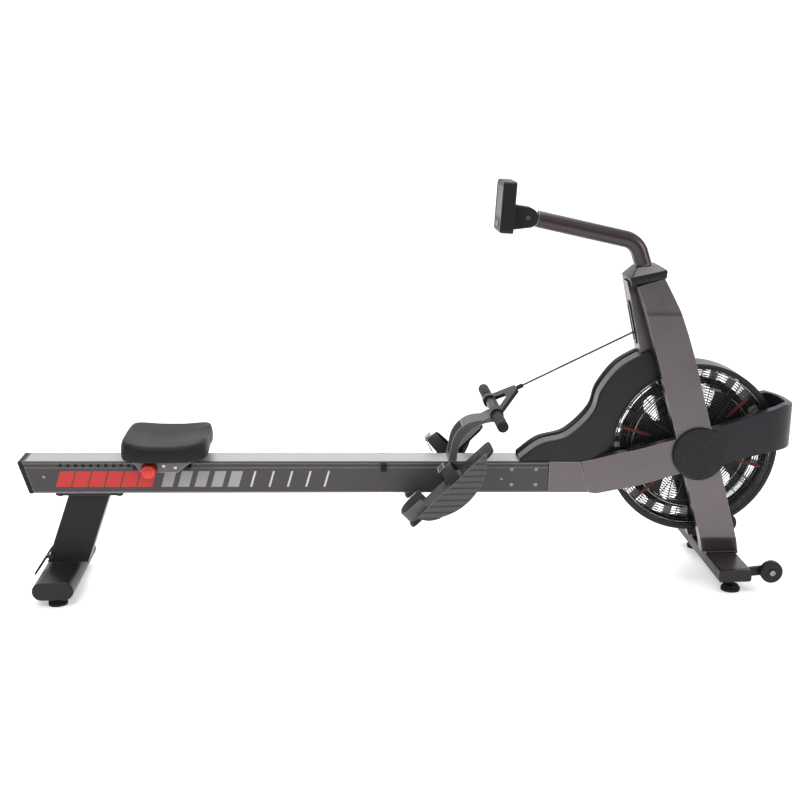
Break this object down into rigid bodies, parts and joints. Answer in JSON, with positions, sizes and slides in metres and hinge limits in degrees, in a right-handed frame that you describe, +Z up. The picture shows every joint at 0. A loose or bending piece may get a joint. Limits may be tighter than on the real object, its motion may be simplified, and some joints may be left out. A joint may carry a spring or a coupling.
{
  "type": "rowing machine",
  "caption": "Air-resistance rowing machine: monorail with sliding seat, caged fan between bowed tower legs, cord and handle, footrests, console on an arm, wheels and levelling feet.",
  "frame": {"origin": "bottom centre of the whole machine, on the floor", "axes": "+X runs forward from the rear foot to the fan, +Y to the far side, +Z up"},
  "size_m": [2.3834, 0.5, 1.2426],
  "materials": {
    "frame_grey": "satin",
    "rail_grey": "satin",
    "track_steel": "brushed",
    "frame_black": "satin",
    "black_plastic": "matte",
    "gloss_black": "gloss",
    "grey_plastic": "textured",
    "steel": "plain",
    "rubber": "matte",
    "red_plastic": "gloss",
    "seat_foam": "soft",
    "webbing": "woven",
    "cord": "braided",
    "screen_glass": "gloss"
  },
  "bodies": {
    "root": {"rail_beam": "rail_grey", "rail_track": "track_steel", "rail_end_cap": "black_plastic", "seat_stops": "rubber", "frame_bolts": "steel", "rear_leg": "frame_black", "rear_stabiliser": "frame_black", "tube_caps": "black_plastic", "levelling_feet": "rubber", "side_arm_near": "frame_grey", "side_arm_far": "frame_grey", "tower_leg_near": "frame_grey", "tower_leg_far": "frame_grey", "tower_column": "frame_grey", "slot_insert": "gloss_black", "tower_cap": "black_plastic", "monitor_arm": "frame_black", "front_base": "frame_grey", "wheel_bolts": "steel", "cage_rim": "frame_black", "guard_near": "frame_black", "guard_far": "frame_black", "axle_bearings": "steel", "hub_covers": "black_plastic", "front_bumper": "black_plastic", "shroud_near": "black_plastic", "shroud_far": "black_plastic", "spool_bracket": "frame_black", "recoil_housing": "black_plastic", "recoil_spring": "steel", "drive_belt": "rubber", "inner_cord": "cord", "handle_cradle": "grey_plastic", "foot_bracket": "frame_black", "foot_plates": "black_plastic", "foot_guards": "grey_plastic", "foot_straps": "webbing"},
    "seat": {"seat_pad": "seat_foam", "seat_carriage": "steel", "guide_pads": "black_plastic"},
    "seat_roller_rear": {"seat_roller_rear": "black_plastic"},
    "seat_roller_front": {"seat_roller_front": "black_plastic"},
    "lock_knob": {"lock_knob": "red_plastic"},
    "cord_swing": {"drive_cord": "cord"},
    "handle": {"handle_bar": "frame_black", "handle_grips": "rubber", "handle_yoke": "black_plastic", "cord_swivel": "steel"},
    "idler": {"idler_pulley": "black_plastic"},
    "spool": {"cord_spool": "black_plastic"},
    "fan_pulley": {"fan_pulley": "black_plastic"},
    "fan": {"fan_wheel": "frame_black", "fan_axle": "steel"},
    "console": {"console_case": "black_plastic", "console_screen": "screen_glass"},
    "console_key": {"console_key": "gloss_black"},
    "heel_near": {"heel_slider_near": "grey_plastic"},
    "heel_far": {"heel_slider_far": "grey_plastic"},
    "wheel_near": {"transport_wheel_near": "black_plastic"},
    "wheel_far": {"transport_wheel_far": "black_plastic"}
  },
  "joints": [
    {"name": "seat_slide", "type": "slide", "parent": "root", "child": "seat", "axis": [0.9997, 0, -0.0244], "range_m": [-0.27, 0.575]},
    {"name": "roller_rear_spin", "type": "hinge", "parent": "seat", "child": "seat_roller_rear", "pos_m": [-0.81609, 0, 0.42883], "axis": [0, 1, 0], "continuous": true},
    {"name": "roller_front_spin", "type": "hinge", "parent": "seat", "child": "seat_roller_front", "pos_m": [-0.68213, 0, 0.42556], "axis": [0, 1, 0], "continuous": true},
    {"name": "seat_lock_pull", "type": "slide", "parent": "seat", "child": "lock_knob", "axis": [0, -1, 0], "range_m": [0, 0.008], "stiffness_N_per_m": 600, "springref_m": -0.004},
    {"name": "cord_swing", "type": "hinge", "parent": "root", "child": "cord_swing", "pos_m": [0.73472, 0, 0.77074], "axis": [0, 1, 0], "range_deg": [0, 28]},
    {"name": "handle_pull", "type": "slide", "parent": "cord_swing", "child": "handle", "axis": [-0.9043, 0, -0.4268], "range_m": [0, 1.15], "stiffness_N_per_m": 25, "springref_m": -1.4},
    {"name": "idler_spin", "type": "hinge", "parent": "root", "child": "idler", "pos_m": [0.73472, 0, 0.77074], "axis": [0, 1, 0], "continuous": true},
    {"name": "spool_spin", "type": "hinge", "parent": "root", "child": "spool", "pos_m": [0.56271, 0, 0.44485], "axis": [0, 1, 0], "continuous": true},
    {"name": "fan_pulley_spin", "type": "hinge", "parent": "root", "child": "fan_pulley", "pos_m": [0.88408, 0, 0.41499], "axis": [0, 1, 0], "continuous": true},
    {"name": "fan_spin", "type": "hinge", "parent": "root", "child": "fan", "pos_m": [0.88408, 0, 0.41499], "axis": [0, 1, 0], "continuous": true},
    {"name": "console_tilt", "type": "hinge", "parent": "root", "child": "console", "pos_m": [0.36144, 0, 1.13197], "axis": [0, 1, 0], "range_deg": [-20, 20]},
    {"name": "console_key_press", "type": "slide", "parent": "console", "child": "console_key", "axis": [0.9971, 0, -0.0767], "range_m": [0, 0.0012], "stiffness_N_per_m": 800, "springref_m": -0.001},
    {"name": "heel_slide_near", "type": "slide", "parent": "root", "child": "heel_near", "axis": [-0.7242, 0, -0.6896], "range_m": [0, 0.06]},
    {"name": "heel_slide_far", "type": "slide", "parent": "root", "child": "heel_far", "axis": [-0.7242, 0, -0.6896], "range_m": [0, 0.06]},
    {"name": "wheel_near_spin", "type": "hinge", "parent": "root", "child": "wheel_near", "pos_m": [1.091, -0.226, 0.069], "axis": [0, 1, 0], "continuous": true},
    {"name": "wheel_far_spin", "type": "hinge", "parent": "root", "child": "wheel_far", "pos_m": [1.091, 0.226, 0.069], "axis": [0, 1, 0], "continuous": true}
  ],
  "couplings": [
    {"joint": "cord_swing", "follows": "handle_pull", "rad_per_m": 0.4},
    {"joint": "idler_spin", "follows": "handle_pull", "rad_per_m": -46.948},
    {"joint": "spool_spin", "follows": "handle_pull", "rad_per_m": 30.03},
    {"joint": "fan_pulley_spin", "follows": "handle_pull", "rad_per_m": 47.19},
    {"joint": "roller_rear_spin", "follows": "seat_slide", "rad_per_m": 62.5},
    {"joint": "roller_front_spin", "follows": "seat_slide", "rad_per_m": 62.5}
  ]
}
